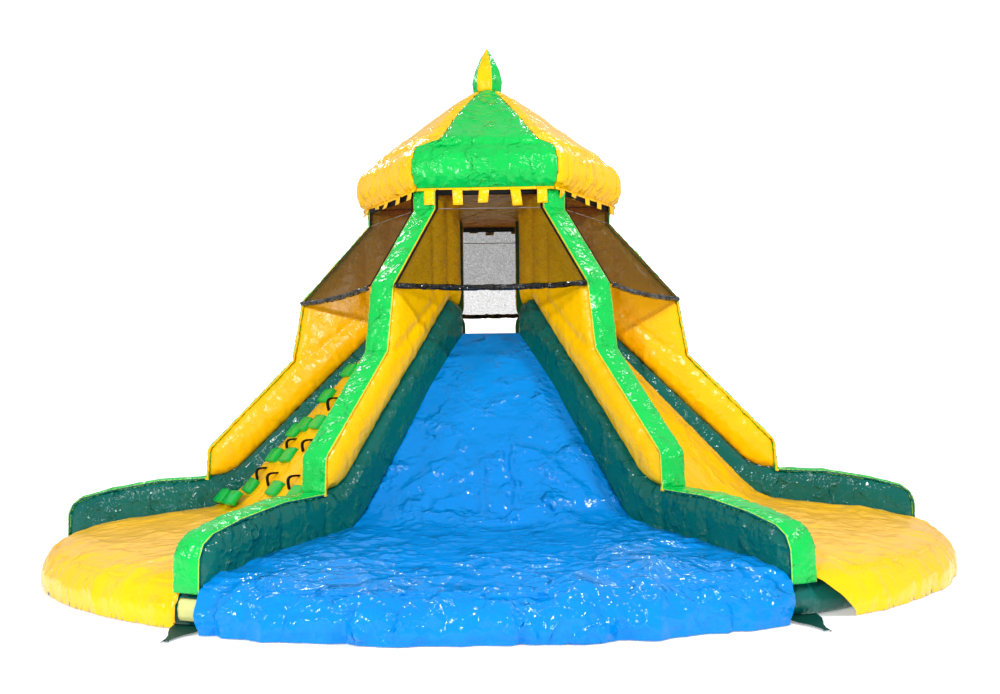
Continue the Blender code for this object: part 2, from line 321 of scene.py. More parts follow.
def hoop(radius, wire, around=20, sides=8):
    """A ring of round wire, lying flat round the Z axis."""
    shape = bmesh.new()
    made = bmesh.ops.create_circle(shape, segments=sides, radius=wire)
    bmesh.ops.rotate(
        shape, verts=made["verts"], cent=(0, 0, 0), matrix=Matrix.Rotation(math.pi / 2, 3, "X")
    )
    bmesh.ops.translate(shape, verts=made["verts"], vec=(radius, 0, 0))
    bmesh.ops.spin(
        shape, geom=shape.verts[:] + shape.edges[:], cent=(0, 0, 0), axis=(0, 0, 1),
        angle=math.tau, steps=around, use_merge=True,
    )
    bmesh.ops.remove_doubles(shape, verts=shape.verts, dist=0.0001)
    bmesh.ops.recalc_face_normals(shape, faces=shape.faces)
    return shape


flap_teal = webbing("webbing_flap_teal", "#05443B")
ring_steel = plain_metal("galvanised_ring_wire", STEEL, 0.35)
FLAP_LINE = [(4.90, 0.030), (5.02, 0.016), (5.14, 0.010), (5.26, 0.012), (5.38, 0.009), (5.44, 0.008)]
FLAP_WIDTHS = [0.150, 0.145, 0.105, 0.055, 0.026, 0.025]
for side, angle in WALL_ANGLES.items():
    flap = ribbon([(0.0, -r, z) for r, z in FLAP_LINE], (1.0, 0.0, 0.0), 0.0, 5)
    for vert in flap.verts:
        k = min(range(len(FLAP_LINE)), key=lambda i: abs(FLAP_LINE[i][0] + vert.co.y))
        across = (vert.co.x - 0.5) * 2
        vert.co.x = across * FLAP_WIDTHS[k]
        vert.co.z += 0.006 * across ** 2
    bmesh.ops.subdivide_edges(flap, edges=flap.edges, cuts=1, use_grid_fill=True)
    bmesh.ops.solidify(flap, geom=flap.faces[:], thickness=0.004)
    bmesh.ops.recalc_face_normals(flap, faces=flap.faces)
    lean = Matrix.Rotation(math.radians(FLAP_LEANS.get(side, 0)), 3, "Z")
    bmesh.ops.rotate(flap, verts=flap.verts, cent=(0, -BASE_RADIUS, 0), matrix=lean)
    ring = hoop(RING_RADIUS, RING_WIRE)
    bmesh.ops.translate(ring, verts=ring.verts, vec=(0.0, -5.455, 0.008))
    bmesh.ops.rotate(ring, verts=ring.verts, cent=(0, -BASE_RADIUS, 0), matrix=lean)
    piece(f"anchor_flap_{side}", turn(flap, angle), [flap_teal])
    piece(f"anchor_ring_{side}", turn(ring, angle), [ring_steel])

# A plain pale patch of the same coated fabric is welded onto the base's edge below the front left
# wall.
PATCH_TURN = (-31.5, -28.4)
PATCH_RISE = (-0.62, 0.72)
patch_pale = coated_fabric("coated_fabric_patch_pale", "#D2D488", 0.45, 0.3)
patch = bmesh.new()
bmesh.ops.create_grid(patch, x_segments=14, y_segments=12, size=0.5)
for vert in patch.verts:
    way = math.radians(PATCH_TURN[0] + (vert.co.x + 0.5) * (PATCH_TURN[1] - PATCH_TURN[0]))
    a = PATCH_RISE[0] + (vert.co.y + 0.5) * (PATCH_RISE[1] - PATCH_RISE[0])
    r = BASE_RADIUS - BASE_EDGE * (1 - math.cos(a)) + 0.006 + 0.002 * math.sin(40 * a)
    vert.co = Vector((r * math.sin(way), -r * math.cos(way), BASE_TOP / 2 * (1 + math.sin(a))))
bmesh.ops.solidify(patch, geom=patch.faces[:], thickness=0.003)
bmesh.ops.recalc_face_normals(patch, faces=patch.faces)
piece("base_patch", patch, [patch_pale])

# Platform. Riders stand on the top of a thick inflated column of yellow PVC-coated polyester. Its
# top is drawn down along sewn channels, and its sides meet the lanes.
PLATFORM_TOP = 2.60
CHANNEL_STEP = 0.36
YELLOW = "#FFC200"


def solid_copy(node, degrees=0.0):
    """A merged copy of a CAD solid, turned back to the front by its own angle."""
    shape = bmesh.new()
    shape.from_mesh(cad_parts[node].data)
    bmesh.ops.remove_doubles(shape, verts=shape.verts, dist=0.0001)
    return turn(shape, -degrees)


def evened(shape, net):
    """The same closed shape as an even net of small squares, which cloth and folds need."""
    mesh = bpy.data.meshes.new("scratch")
    shape.to_mesh(mesh)
    shape.free()
    scratch = bpy.data.objects.new("scratch", mesh)
    bpy.context.scene.collection.objects.link(scratch)
    remesh = scratch.modifiers.new("even", "REMESH")
    remesh.mode = "VOXEL"
    remesh.voxel_size = net
    even = bmesh.new()
    even.from_object(scratch, bpy.context.evaluated_depsgraph_get())
    bpy.data.objects.remove(scratch)
    bpy.data.meshes.remove(mesh)
    return even


platform_yellow = coated_fabric("coated_fabric_platform_yellow", YELLOW, 0.3)
top = solid_copy("platform")
column = solid_copy("platform")
for shape, kept in ((top, 1), (column, -1)):
    cut = bmesh.ops.bisect_plane(
        shape, geom=shape.verts[:] + shape.edges[:] + shape.faces[:],
        plane_co=(0, 0, PLATFORM_TOP - 0.35), plane_no=(0, 0, -kept), clear_outer=True,
    )["geom_cut"]
    bmesh.ops.holes_fill(shape, edges=[e for e in cut if isinstance(e, bmesh.types.BMEdge)])
    bmesh.ops.recalc_face_normals(shape, faces=shape.faces)
top = evened(top, 0.036)
for vert in top.verts:
    if vert.co.z > PLATFORM_TOP - 0.02:
        channel = abs((vert.co.y / CHANNEL_STEP) % 1.0 - 0.5) * 2
        vert.co.z -= 0.035 * (1 - math.sqrt(max(0.0, 1 - channel ** 2)))
platform_piece = piece(
    "platform_cushion", joined([top, column]), [platform_yellow], ["platform"]
)

# Lanes. Six inflated beds fall from the platform to the ground between the walls, three of them
# deep and three higher. Loose covers of blue or yellow PVC-coated polyester lie over them, taut at
# the top and crumpled over the splash area, and hang down the rounded outer edge.
WALL_HALF = 0.15
HALF_SECTOR = math.radians(30)
LANES = {
    "slide_front": (0, True, 0.018, 1.0),
    "slide_right": (60, False, 0.029, 0.5),
    "slide_back_right": (120, True, 0.032, 0.9),
    "slide_back": (180, False, 0.032, 0.5),
    "slide_back_left": (-120, True, 0.032, 0.9),
    "climbing_lane": (-60, False, 0.029, 0.4),
}
BLUE = "#0080D2"
HEM = 0.005
HEM_CUT = 0.034
TUCK = 0.10
SIDE_GAP = 0.008
TUCK_ENDS = 4.80
LANE_TOP_D = 0.86
CORNER_HEIGHT = 0.33
CORNER_SLANTS = {("slide_right", -1): 1.13, ("slide_front", -1): 0.3, ("slide_front", 1): 0.3}
LEFT_APRON_IN = 0.14
BED_SKIN = 0.075


def all_of(shape):
    """Everything in a shape, as a cut takes it."""
    return shape.verts[:] + shape.edges[:] + shape.faces[:]


def bed_copy(name):
    """A lane's solid, lying at the front. The climbing lane's is the back slide's, whose bed is
    the same but for the blocks."""
    node = "slide_back" if name == "climbing_lane" else name
    return solid_copy(node, LANES[node][0])


def cover_of(name, net):
    """The upper skin of a lane, from the platform to the hem, lying at the front."""
    shape = evened(bed_copy(name), net)
    shape.normal_update()
    under = [
        f for f in shape.faces
        if f.normal.z < -0.5 or (
            f.calc_center_median().xy.length > 4.5
            and f.normal.xy.dot(f.calc_center_median().xy.normalized()) < -0.5
        )
    ]
    bmesh.ops.delete(shape, geom=under, context="FACES")
    cuts = [((0, 0, HEM_CUT), (0, 0, -1)), ((0, -LANE_TOP_D, 0), (0, 1, 0))]
    sides = []
    for hand in (-1, 1):
        out = Vector((hand * math.cos(HALF_SECTOR), math.sin(HALF_SECTOR), 0))
        sides.append(out)
        cuts.append((-out * (WALL_HALF + SIDE_GAP), out))
        if (name, hand) in CORNER_SLANTS:
            # The skirts' lower corners are cut away beside the front walls, one of them far round.
            corner = -out * (WALL_HALF + SIDE_GAP) + Vector((0, 0, CORNER_HEIGHT))
            fall = Vector((0, 0, -CORNER_SLANTS[name, hand]))
            cuts.append((corner, (out + fall).normalized()))
    for place, out in cuts:
        bmesh.ops.bisect_plane(
            shape, geom=all_of(shape), plane_co=place, plane_no=out, clear_outer=True
        )
    for out in sides:
        level = -(WALL_HALF + SIDE_GAP)
        rim = [
            e for e in shape.edges
            if e.is_boundary and all(
                abs(v.co.dot(out) - level) < 0.0005 and v.co.xy.length < TUCK_ENDS for v in e.verts
            )
        ]
        made = bmesh.ops.extrude_edge_only(shape, edges=rim)["geom"]
        tucked = [g for g in made if isinstance(g, bmesh.types.BMVert)]
        bmesh.ops.translate(shape, verts=tucked, vec=out * TUCK + Vector((0, 0, -0.04)))
    shape.normal_update()
    return shape


def on_slope(point):
    """0 over the splash area and 1 on the slope, by the distance from the axis."""
    return max(0.0, min(1.0, (2.75 + point.y) / 0.5))


def in_from_side(point):
    """0.3 where a cover is pinched beside a tube and 1 from 20 cm away from it."""
    away = -point.y * math.sin(HALF_SECTOR) - abs(point.x) * math.cos(HALF_SECTOR) - WALL_HALF
    return 0.3 + 0.7 * max(0.0, min(1.0, away / 0.20))


def from_line(line, a, b):
    """The distance of a point from a bent line, and how far along the line it lies."""
    best, place, passed = 9.0, 0.0, 0.0
    for (a1, b1), (a2, b2) in zip(line, line[1:]):
        da, db = a2 - a1, b2 - b1
        long = math.hypot(da, db)
        along = max(0.0, min(1.0, ((a - a1) * da + (b - b1) * db) / long ** 2))
        gap = math.hypot(a - a1 - along * da, b - b1 - along * db)
        if gap < best:
            best, place = gap, passed + along * long
        passed += long
    return best, place


# Folds on the front slide, each a line across and down the lane, with a half width and a height.
FRONT_FOLDS = [
    ([(-0.96, 2.35), (-0.68, 2.24), (-0.43, 2.12), (-0.30, 2.06), (-0.27, 1.93)], 0.10, 0.045),
    ([(0.16, 1.98), (0.43, 2.07), (0.67, 2.21), (0.90, 2.41)], 0.10, 0.045),
    ([(0.48, 2.16), (0.67, 2.29), (0.79, 2.42)], 0.06, 0.030),
    ([(0.15, 1.88), (0.12, 2.11), (0.18, 2.31), (0.13, 2.50), (0.08, 2.69)], 0.05, -0.026),
    ([(0.22, 1.92), (0.19, 2.12), (0.25, 2.32), (0.20, 2.52), (0.14, 2.75)], 0.05, 0.030),
    ([(-0.13, 2.11), (-0.09, 2.35), (-0.13, 2.57)], 0.09, 0.040),
    ([(-0.39, 2.80), (-0.18, 2.68), (0.06, 2.65), (0.30, 2.55), (0.50, 2.51)], 0.08, 0.045),
    ([(-0.69, 2.60), (-0.52, 2.45), (-0.33, 2.41), (-0.23, 2.33)], 0.08, 0.040),
    ([(0.49, 2.49), (0.73, 2.48), (0.97, 2.44)], 0.09, 0.040),
    ([(-0.63, 2.30), (-0.33, 2.24), (-0.15, 2.17)], 0.06, 0.028),
    ([(-0.19, 1.78), (0.14, 1.77), (0.45, 1.79)], 0.05, 0.014),
    ([(0.35, 2.90), (0.55, 2.84), (0.80, 2.80)], 0.07, 0.030),
]
SKIRT_DENTS = [(-25.8, 1.0), (-13.0, 1.2), (-4.2, 1.6), (2.0, 0.8), (5.8, 1.4), (21.2, 1.0)]


def folded(shape, folds, uneven=0.3):
    """Raises sharp folds along lines drawn across and down a lane; a height below 0 is a dent."""
    shape.normal_update()
    moves = []
    for vert in shape.verts:
        lift = 0.0
        wander = noise.noise_vector(vert.co * 3.0) * 0.05
        for line, half, height in folds:
            gap, place = from_line(line, vert.co.x + wander.x, -vert.co.y + wander.y)
            if gap < half:
                long = sum(math.dist(p, q) for p, q in zip(line, line[1:]))
                ends = min(1.0, 4 * (place + 0.05) / long, 4 * (long - place + 0.05) / long)
                lift += height * (1 - gap / half) ** 1.4 * ends
        if lift:
            moves.append((vert, vert.normal * lift * (1 + uneven * noise.noise(vert.co * 9.0))))
    for vert, move in moves:
        vert.co += move
    return shape


COVER_CUT = (0.60, 0.50, 1.0)
cover_blue = coated_fabric("coated_fabric_cover_blue", BLUE, 0.14, 1.9, COVER_CUT)
cover_yellow = coated_fabric("coated_fabric_cover_yellow", YELLOW, 0.22, 0.8, COVER_CUT)
for cover_fabric in (cover_blue, cover_yellow):
    # The covers are duller than the walls where they are seen edge on.
    shader = cover_fabric.node_tree.nodes["Principled BSDF"]
    shader.inputs["Specular IOR Level"].default_value = 0.22
bed_teal = coated_fabric("coated_fabric_bed_teal", TEAL, 0.3)
for name, (angle, blue, net, slack) in LANES.items():
    cover = cover_of(name, net)
    # Long folds lie across the splash area, and crumpled ones on the slope and down the skirt.
    hem = [v for v in cover.verts if v.co.z < HEM_CUT + 0.001]
    crumple(
        cover, 0.42, 0.085 * slack,
        lambda p: (1 - on_slope(p)) * in_from_side(p), (0.70, 0.9, 1.0), 3.0 * angle,
    )
    crumple(
        cover, 0.32, 0.075 * slack,
        lambda p: on_slope(p) * in_from_side(p) * max(0.0, min(1.0, (-p.y - 1.5) / 0.8)),
        (0.8, 1.0, 0.8), 3.0 * angle + 1,
    )
    crumple(
        cover, 0.15, 0.034 * slack,
        lambda p: in_from_side(p) * max(0.08, min(1.0, (-p.y - 1.6) / 0.7)), (0.6, 1.1, 1.0),
        3.0 * angle + 2,
    )
    crumple(
        cover, 0.30, 0.090 * slack,
        lambda p: max(0.0, min(1.0, (0.62 - p.z) / 0.25)) if p.xy.length > 4.5 else 0.0,
        (1.0, 1.0, 0.8), 3.0 * angle + 3,
    )
    if name == "slide_front":
        folded(cover, FRONT_FOLDS)
        crumple(
            cover, 0.14, 0.035,
            lambda p: max(0.0, min(1.0, (0.50 - p.z) / 0.12)) if p.xy.length > 4.7 else 0.0,
        )
    for vert in cover.verts:
        # The skirt buckles into upright dents where it hangs.
        fall = max(0.0, min(1.0, (0.40 - vert.co.z) / 0.25))
        if fall and vert.co.xy.length > 4.7:
            way = math.atan2(vert.co.x, -vert.co.y)
            dent = noise.noise(Vector((way * 9.0, angle, 0.4))) + 0.5 * noise.noise(
                Vector((way * 24.0, vert.co.z * 2, angle)))
            if name == "slide_front":
                for place, wide in SKIRT_DENTS:
                    dent -= 0.9 * max(0.0, 1 - abs(math.degrees(way) - place) / wide)
            vert.co.xy *= 1 + 0.010 * slack * fall * dent
            # It lies against the base's edge at its deepest.
            if fall > 0.1:
                vert.co.xy *= max(1.0, (BASE_RADIUS + 0.012) / vert.co.xy.length)
        if name == "climbing_lane":
            # This splash area was laid a little shorter than the others.
            far = max(0.0, min(1.0, (vert.co.xy.length - 3.8) / 1.4))
            vert.co.xy *= 1 - LEFT_APRON_IN * far ** 1.5 / vert.co.xy.length
        vert.co.z = max(vert.co.z, HEM)
    for vert in hem:
        vert.co.z = HEM
    flat = [(v.co.x, -v.co.y - v.co.z, 0.02 * v.co.y) for v in cover.verts]
    cloth = piece(
        f"cover_{name}", turn(cover, angle), [cover_blue if blue else cover_yellow],
        [name],
    )
    cut = cloth.data.attributes.new("cut", "FLOAT_VECTOR", "POINT")
    cut.data.foreach_set("vector", [value for point in flat for value in point])
    bed = bed_copy(name)
    cut = bmesh.ops.bisect_plane(
        bed, geom=all_of(bed), plane_co=(0, 0, BASE_TOP + 0.01), plane_no=(0, 0, -1),
        clear_outer=True,
    )["geom_cut"]
    bmesh.ops.holes_fill(bed, edges=[e for e in cut if isinstance(e, bmesh.types.BMEdge)])
    bmesh.ops.recalc_face_normals(bed, faces=bed.faces)
    bed.normal_update()
    for vert in bed.verts:
        inward = vert.normal * BED_SKIN
        if vert.co.z < BASE_TOP + 0.02:
            inward.z = 0.0
        vert.co -= inward
        if name == "climbing_lane" and vert.co.xy.length > 4.2:
            vert.co.xy *= 1 - LEFT_APRON_IN / vert.co.xy.length
    bed_piece = piece(f"bed_{name}", turn(bed, angle), [bed_teal], [name])

# Walls. Six inflated walls stand between the lanes. Each is one fat teal tube beside the lane, a
# quilted yellow panel above it and a green strip along its outer edge, cut from PVC-coated
# polyester and sewn together with yellow piping; the air inside draws puckers along the seams.
WALL_EDGE = [
    (1.433, 4.150), (1.433, 3.942), (2.240, 3.038), (2.354, 2.350), (3.359, 1.320),
    (3.377, 0.975), (3.950, 0.950), (4.520, 0.850), (4.840, 0.765), (4.950, 0.690),
    (4.995, 0.580), (5.000, 0.460), (5.000, 0.300),
]
TUBE_SEAM = [(0.870, 2.920), (1.100, 2.970), (3.020, 1.100), (3.154, 1.030), (3.377, 0.980)]
FOLD_SEAM = [(1.250, 3.120), (1.720, 2.740), (2.050, 2.470), (2.300, 2.310)]
ARM_SEAMS = [[(1.170, 3.060), (1.170, 4.150)], [(1.470, 3.060), (1.470, 3.820)]]
TUBE_FOLDS = [[(3.385, 0.975), (3.400, 0.400)], [(4.000, 0.940), (4.020, 0.400)]]
WALL_INNER = 0.87
STRIP_DEPTH = 0.06
STRIP_HALF = 0.14
RIM_OUT = 0.052
KEEL = ((1.100, 2.350), (3.020, 0.480))
WALL_NET = 0.026
TUBE_FULL = 0.158
PANEL_FULL = 0.150
GREEN = "#06BE4C"
# The green strip's colour darkened for the walls' inner ends by the platform: painted shade.
GREEN_PAINTED_SHADE = "#045A24"


def gap_to(line, r, z):
    """The distance of a point of the wall's side from a seam."""
    return from_line(line, r, z)[0]


def plump(gap, reach):
    """How full the fabric stands at a distance from a seam: 0 at the seam and 1 past reach."""
    share = min(max(gap, 0.0) / reach, 1.0)
    return math.sqrt(1 - (1 - share) ** 2)


def swollen(shape, sewn, most, pressure=4.0, slack=0.03, steps=18):
    """The closed shape with air let into it: cloth under pressure, without gravity. sewn says
    which points the seams hold, and no point moves further than most."""
    mesh = bpy.data.meshes.new("scratch")
    shape.to_mesh(mesh)
    scratch = bpy.data.objects.new("scratch", mesh)
    bpy.context.scene.collection.objects.link(scratch)
    held = scratch.vertex_groups.new(name="sewn")
    held.add([v.index for v in mesh.vertices if sewn(v.co)], 1.0, "REPLACE")
    cloth = scratch.modifiers.new("air", "CLOTH")
    rules = cloth.settings
    rules.quality = 4
    rules.mass = 0.4
    rules.tension_stiffness = 20.0
    rules.compression_stiffness = 20.0
    rules.shear_stiffness = 8.0
    rules.bending_stiffness = 0.4
    rules.use_pressure = True
    rules.uniform_pressure_force = pressure
    rules.shrink_min = -slack
    rules.vertex_group_mass = "sewn"
    rules.effector_weights.gravity = 0.0
    cloth.collision_settings.use_collision = False
    cloth.point_cache.frame_start = 1
    cloth.point_cache.frame_end = steps
    scene = bpy.context.scene
    for step in range(1, steps + 1):
        scene.frame_set(step)
    blown = scratch.evaluated_get(bpy.context.evaluated_depsgraph_get()).to_mesh()
    shape.verts.ensure_lookup_table()
    for k, vert in enumerate(blown.vertices):
        move = vert.co - shape.verts[k].co
        if move.length > most:
            move *= most / move.length
        shape.verts[k].co += move
    scene.frame_set(1)
    bpy.data.objects.remove(scratch)
    bpy.data.meshes.remove(mesh)
    return shape


def side_of(point):
    """A point of the front wall as radius and height."""
    return -point.y, point.z


def shaped(shape, seams, full, flat_half):
    """Draws the sides of a flat wall piece in along its seams and plumps them up between, and
    brings its outer rim up under the edge strip."""
    for vert in shape.verts:
        r, z = side_of(vert.co)
        half = full
        for line, sewn_half, reach, back in seams:
            half = min(half, sewn_half + (full - sewn_half) * plump(gap_to(line, r, z) - back, reach))
        vert.co.x *= half / flat_half
    moves = []
    for vert in shape.verts:
        r, z = side_of(vert.co)
        gap = gap_to(WALL_EDGE, r, z)
        share = max(0.0, min(1.0, 1 - (gap - STRIP_DEPTH) / 0.12))
        if share and 0.35 < z < 4.10:
            step = 0.004
            way = Vector((0.0, gap_to(WALL_EDGE, r + step, z) - gap, gap - gap_to(WALL_EDGE, r, z + step)))
            if way.length > 0.001:
                moves.append((vert, way.normalized() * RIM_OUT * share))
    for vert, move in moves:
        vert.co += move
    return shape


def on_seam(seams, reach):
    """A test of whether a point lies on one of the seams."""
    def test(point):
        r, z = side_of(point)
        return any(gap_to(line, r, z) - back < reach for line, _, _, back in seams)
    return test


def pucker(shape, seams, height, reach, pitch):
    """Gathers the fabric beside a seam into short folds that run out from it at that pitch."""
    shape.normal_update()
    for vert in shape.verts:
        r, z = side_of(vert.co)
        for k, (line, _, _, back) in enumerate(seams):
            gap, place = from_line(line, r, z)
            fade = math.exp(-max(gap - back, 0.0) / reach)
            if fade > 0.05:
                way = Vector((place / pitch, gap / (4 * pitch), 3.1 * k + math.copysign(2, vert.co.x)))
                vert.co += vert.normal * height * fade * noise.noise(way)
    return shape


strip_green = coated_fabric("coated_fabric_strip_green", GREEN, 0.20, 1.2)
tube_teal = coated_fabric("coated_fabric_tube_teal", TEAL, 0.14, 1.2)
panel_yellow = coated_fabric("coated_fabric_panel_yellow", YELLOW, 0.25, 0.35)
# The walls' inner ends by the platform get the green strip fabric painted darker, as painted shade.
end_green_painted_shade = coated_fabric("coated_fabric_end_green", GREEN_PAINTED_SHADE, 0.3, 0.4)
piping_lime = coated_fabric("coated_fabric_piping_lime", "#A8D648", 0.4, 0.3)

tube_seams = [
    (TUBE_SEAM, 0.085, 0.17, 0.0), (WALL_EDGE[5:], 0.138, 0.12, STRIP_DEPTH),
    (TUBE_FOLDS[0], 0.143, 0.05, 0.0), (TUBE_FOLDS[1], 0.146, 0.04, 0.0),
]
tube = solid_copy("tube_front_right", WALL_ANGLES["front_right"])
(r1, z1), (r2, z2) = KEEL
cut = bmesh.ops.bisect_plane(
    tube, geom=all_of(tube), plane_co=(0, -r1, z1), plane_no=(0, z1 - z2, r1 - r2),
    clear_outer=True,
)["geom_cut"]
bmesh.ops.holes_fill(tube, edges=[e for e in cut if isinstance(e, bmesh.types.BMEdge)])
tube = shaped(evened(tube, WALL_NET), tube_seams, TUBE_FULL, WALL_HALF)
tube_sewn = on_seam(tube_seams, 0.5 * WALL_NET)
tube = swollen(
    tube, lambda p: tube_sewn(p) or p.z < BASE_TOP + 0.03 or -p.y < WALL_INNER + 0.03, 0.022,
)

PANEL_HALF = 0.125
panel_seams = [
    (TUBE_SEAM, 0.085, 0.20, 0.0), (WALL_EDGE, 0.138, 0.12, STRIP_DEPTH),
    (FOLD_SEAM, 0.146, 0.22, 0.0), (ARM_SEAMS[0], 0.125, 0.12, 0.0),
    (ARM_SEAMS[1], 0.125, 0.12, 0.0), ([(WALL_INNER, 2.9), (WALL_INNER, 4.15)], 0.125, 0.08, 0.0),
]
panel = evened(solid_copy("panel_front_right", WALL_ANGLES["front_right"]), WALL_NET)
panel = shaped(panel, panel_seams, PANEL_FULL, PANEL_HALF)
panel_sewn = on_seam(panel_seams, 0.5 * WALL_NET)
panel = swollen(
    panel, lambda p: panel_sewn(p) or p.z > 4.12 or -p.y < WALL_INNER + 0.03, 0.020,
)

STRIP_STEP = 0.019
STRIP_CUTS = 15
STRIP_CROWN = 0.008
PIPING = 0.007
strip = ribbon([(-STRIP_HALF, -r, z) for r, z in WALL_EDGE], (2 * STRIP_HALF, 0, 0), 0.0, STRIP_CUTS)
for k, ((r1, z1), (r2, z2)) in enumerate(zip(WALL_EDGE, WALL_EDGE[1:])):
    run = [
        e for e in strip.edges
        if abs(e.verts[0].co.x - e.verts[1].co.x) < 0.001
        and {round(v.co.z, 4) for v in e.verts} == {round(z1, 4), round(z2, 4)}
    ]
    cuts = max(0, round(math.hypot(r2 - r1, z2 - z1) / STRIP_STEP) - 1)
    if cuts:
        bmesh.ops.subdivide_edges(strip, edges=run, cuts=cuts, use_grid_fill=True)
round_bends = [v for v in strip.verts if min(
    math.hypot(-v.co.y - r, v.co.z - z) for r, z in (WALL_EDGE[2], WALL_EDGE[4])) < 0.10]
for _ in range(12):
    bmesh.ops.smooth_vert(
        strip, verts=round_bends, factor=0.5, use_axis_x=False, use_axis_y=True, use_axis_z=True
    )
next_out = STRIP_HALF - 2 * STRIP_HALF / (STRIP_CUTS + 1)
for vert in strip.verts:
    if abs(abs(vert.co.x) - next_out) < 0.001:
        vert.co.x = math.copysign(STRIP_HALF - PIPING, vert.co.x)
strip.normal_update()
if sum((f.normal.y for f in strip.faces)) > 0:
    bmesh.ops.reverse_faces(strip, faces=strip.faces)
    strip.normal_update()
for vert in strip.verts:
    vert.co += vert.normal * STRIP_CROWN * (1 - (vert.co.x / STRIP_HALF) ** 2)
bmesh.ops.solidify(strip, geom=strip.faces[:], thickness=0.020)
bmesh.ops.recalc_face_normals(strip, faces=strip.faces)
# The panel's yellow and the tube's teal come up to the strip's edges, where the piping is.
for face in strip.faces:
    middle = face.calc_center_median()
    if abs(face.normal.x) > 0.7:
        face.material_index = 2 if -middle.y > 3.40 else 1
    elif abs(middle.x) > STRIP_HALF - PIPING:
        face.material_index = 3
strip = swollen(
    strip,
    lambda p: abs(p.x) > STRIP_HALF - 0.006 or gap_to(WALL_EDGE, -p.y, p.z) > 0.03 or p.z > 4.12
    or p.z < BASE_TOP + 0.02,
    0.014, 3.0, 0.05,
)
pucker(tube, tube_seams[:2], 0.016, 0.05, 0.07)
pucker(panel, panel_seams[:3], 0.012, 0.05, 0.08)


def worn_copy(shape, angle, size, height, share=lambda point: 1.0):
    """A copy of a wall's piece, turned to its own angle and crumpled in its own way there."""
    mine = turn(shape.copy(), angle)
    return crumple(mine, size, height, share)


def near_bend(point):
    """Where the tube bends from the slope to the splash area, it folds more."""
    return 0.25 + math.exp(-((point.xy.length - 3.25) / 0.30) ** 2)


for side, angle in WALL_ANGLES.items():
    own = worn_copy(tube, angle, 0.20, 0.022, near_bend)
    tube_piece = piece(f"side_tube_{side}", own, [tube_teal, end_green_painted_shade], [f"tube_{side}"])
    own = worn_copy(panel, angle, 0.35, 0.010)
    panel_piece = piece(
        f"wall_panel_{side}", own, [panel_yellow, end_green_painted_shade], [f"panel_{side}"]
    )
    # Faces at a wall's inner end by the platform take the darker green, which is painted shade.
    for made in (tube_piece, panel_piece):
        for face in made.data.polygons:
            if face.center.xy.length < WALL_INNER + 0.02:
                face.material_index = 1
    own = worn_copy(strip, angle, 0.11, 0.012)
    strip_piece = piece(
        f"edge_strip_{side}", own, [strip_green, panel_yellow, tube_teal, piping_lime],
        [f"cap_{side}"],
    )

# Climbing blocks. Soft green pads, cut like bricks and sewn onto the climbing lane's yellow cover,
# with black webbing handles between them.
BLOCKS = [
    (2.86, -1.34), (2.87, -0.91), (2.64, -0.97), (2.63, -0.17), (2.64, 0.50), (2.36, -0.95),
    (2.35, -0.51), (2.13, -0.91), (2.07, -0.74), (2.05, -0.37), (1.80, -0.73), (1.56, -0.62),
]
HANDLES = [(2.55, -0.51), (2.55, 0.16), (2.52, -0.97), (2.25, -0.71), (2.25, -0.21), (1.87, -0.40)]
SLOPE_TOP = Vector((0, -1.49, 2.29))
SLOPE_FOOT = Vector((0, -2.655, 0.865))
BLOCK = (0.28, 0.17, 0.060)
HANDLE_SPAN = 0.20
HANDLE_RISE = 0.085
HANDLE_WIDTH = 0.045


def on_climb(shape, d, across):
    """Lays a shape made on the ground at the origin onto the climbing lane's slope."""
    fall = SLOPE_FOOT - SLOPE_TOP
    tilt = math.atan2(-fall.z, -fall.y)
    bmesh.ops.rotate(
        shape, verts=shape.verts, cent=(0, 0, 0), matrix=Matrix.Rotation(tilt, 3, "X")
    )
    share = (d + SLOPE_TOP.y) / -fall.y
    z = SLOPE_TOP.z + fall.z * min(share, 1.0)
    if d > 2.72:
        z = 0.76
    bmesh.ops.translate(shape, verts=shape.verts, vec=(across, -d, z))
    return shape


block_green = coated_fabric("coated_fabric_block_green", GREEN, 0.3, 0.6)
handle_black = webbing("webbing_handle_black", "#0A0A0B")
blocks = []
for d, across in BLOCKS:
    block = bmesh.new()
    bmesh.ops.create_cube(block, size=1.0)
    bmesh.ops.scale(block, verts=block.verts, vec=BLOCK)
    bmesh.ops.translate(block, verts=block.verts, vec=(0, 0, BLOCK[2] / 2 - 0.01))
    bmesh.ops.subdivide_edges(block, edges=block.edges, cuts=7, use_grid_fill=True)
    for vert in block.verts:
        x, y = 2 * vert.co.x / BLOCK[0], 2 * vert.co.y / BLOCK[1]
        vert.co.z *= 1 + 0.22 * (1 - x * x) * (1 - y * y)
        pull = 0.012 * (1 - 4 * (vert.co.z / BLOCK[2] - 0.5) ** 2)
        vert.co.x += pull * x * (1 - y * y)
        vert.co.y += pull * y * (1 - x * x)
    turned = 0.18 * noise.noise(Vector((d * 5, across * 5, 0)))
    bmesh.ops.rotate(
        block, verts=block.verts, cent=(0, 0, 0), matrix=Matrix.Rotation(turned, 3, "Z")
    )
    blocks.append(on_climb(crumple(block, 0.06, 0.006, shift=d), d, across))
climbing_blocks = turn(joined(blocks), LANES["climbing_lane"][0])
piece("climbing_blocks", climbing_blocks, [block_green])
handles = []
for d, across in HANDLES:
    arch = []
    for k in range(13):
        t = k / 12
        arch.append((-HANDLE_WIDTH / 2, HANDLE_SPAN * (t - 0.5), HANDLE_RISE * math.sin(math.pi * t)))
    handles.append(on_climb(ribbon(arch, (HANDLE_WIDTH, 0, 0), 0.020, 1), d, across))
piece("climbing_handles", turn(joined(handles), LANES["climbing_lane"][0]), [handle_black])

